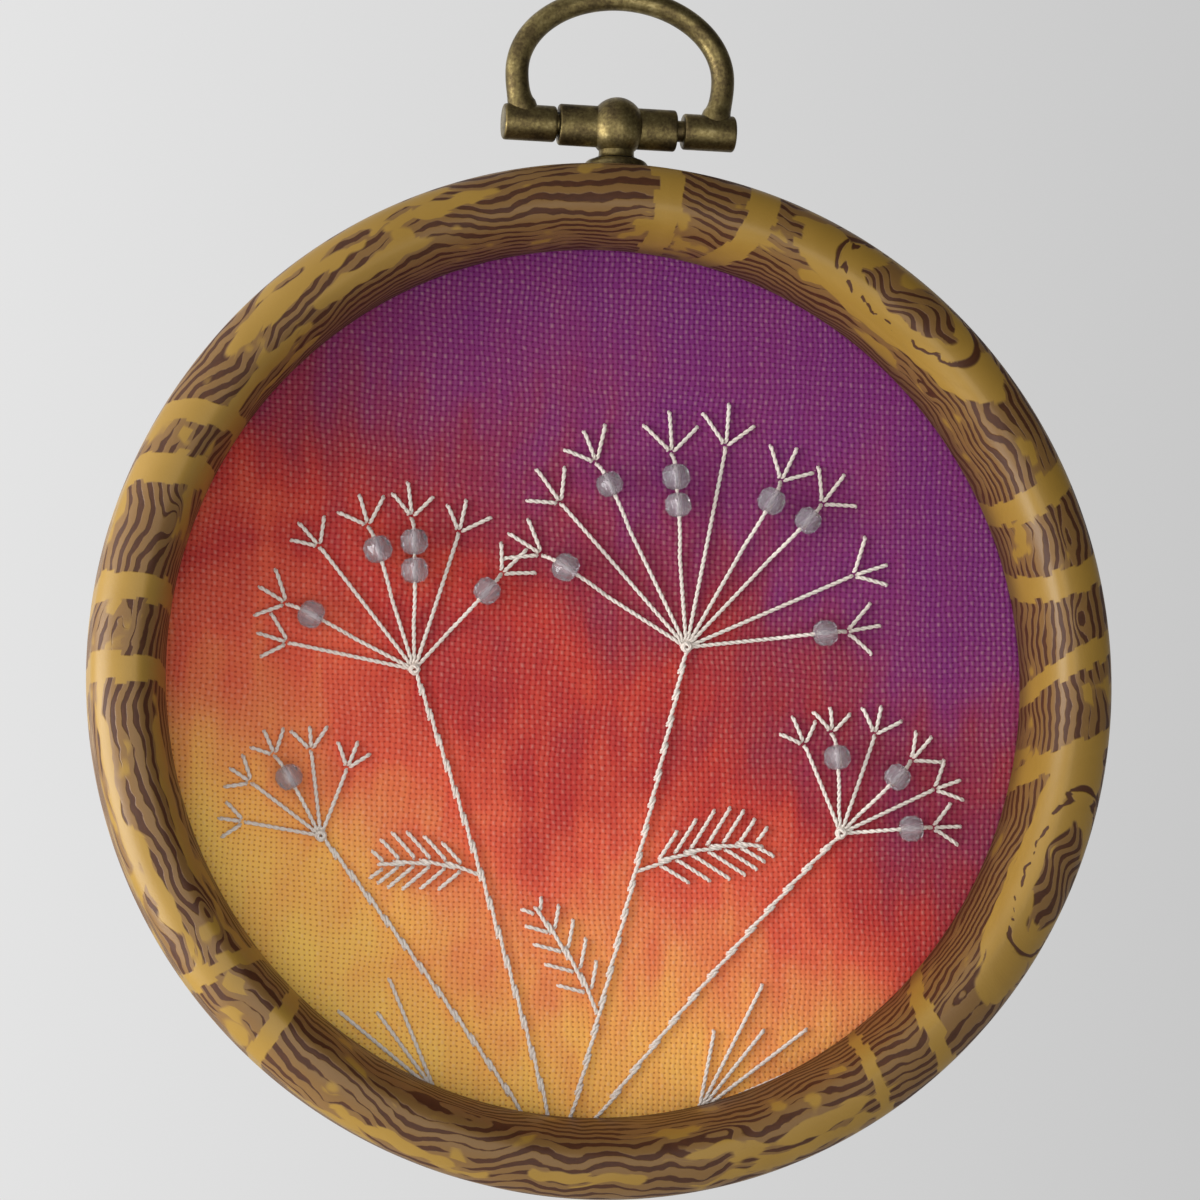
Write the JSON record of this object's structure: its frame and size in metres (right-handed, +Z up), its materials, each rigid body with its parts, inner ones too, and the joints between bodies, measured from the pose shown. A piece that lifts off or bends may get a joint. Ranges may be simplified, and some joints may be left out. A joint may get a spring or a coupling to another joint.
{
  "type": "hoop embroidery art, embroidered cloth in a round hoop frame",
  "caption": "Dyed, hand-stitched and beaded cloth stretched in a round wood-grain vinyl hoop, with a hinged metal hanging ring at the top.",
  "frame": {"origin": "middle of the underside of the hanging ring's top, where a nail carries the part", "axes": "+Z up, the hoop's face looks along -Y and its back along +Y, +X is to the right when facing the hoop"},
  "size_m": [0.11, 0.014, 0.1299],
  "materials": {
    "vinyl": "satin moulded vinyl with a printed wood grain",
    "ring_plastic": "satin moulded plastic",
    "cotton": "plain weave, dip dyed from purple to gold",
    "aged_brass": "antiqued and lacquered",
    "thread": "two-ply off-white thread",
    "bead": "faceted smoky glass"
  },
  "bodies": {
    "bail": {"bail": "aged_brass"},
    "hoop": {"band": "vinyl", "inner_ring": "ring_plastic", "cloth": "cotton", "flange": "aged_brass", "barrel": "aged_brass"}
  },
  "joints": [
    {"name": "bail_swing", "type": "hinge", "parent": "bail", "child": "hoop", "pos_m": [0, 0, -0.0128], "axis": [1, 0, 0], "range_deg": [-125, 125]}
  ]
}
